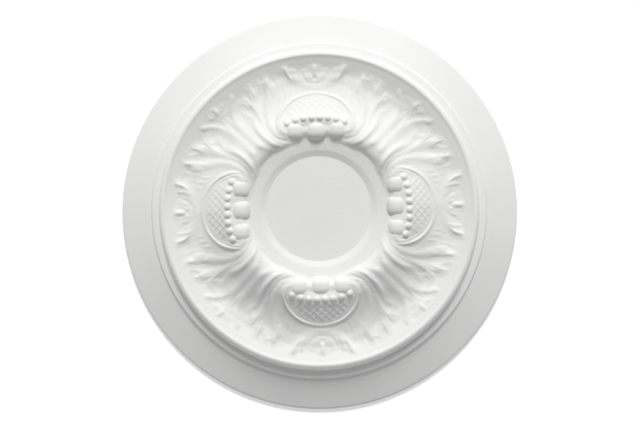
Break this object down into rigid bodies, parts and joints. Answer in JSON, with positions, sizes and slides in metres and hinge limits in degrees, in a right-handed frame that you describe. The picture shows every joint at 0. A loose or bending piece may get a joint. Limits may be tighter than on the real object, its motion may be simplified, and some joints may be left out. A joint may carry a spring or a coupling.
{
  "type": "ceiling rose",
  "caption": "Round cast ceiling rose with a recessed plain disc, a carved ring of acanthus leaves and cartouches, and a stepped outer flange",
  "frame": {"origin": "centre of the flat back, which is glued or screwed to the ceiling", "axes": "+Z out of the decorated face, along the axis of the rose; +X and +Y each run through a cartouche, and the leaf axes lie 45 degrees between them"},
  "size_m": [0.4, 0.4, 0.046],
  "materials": {
    "moulded_foam": "matt white primer on rigid moulded foam"
  },
  "bodies": {
    "root": {"ceiling_rose": "moulded_foam"}
  },
  "joints": []
}
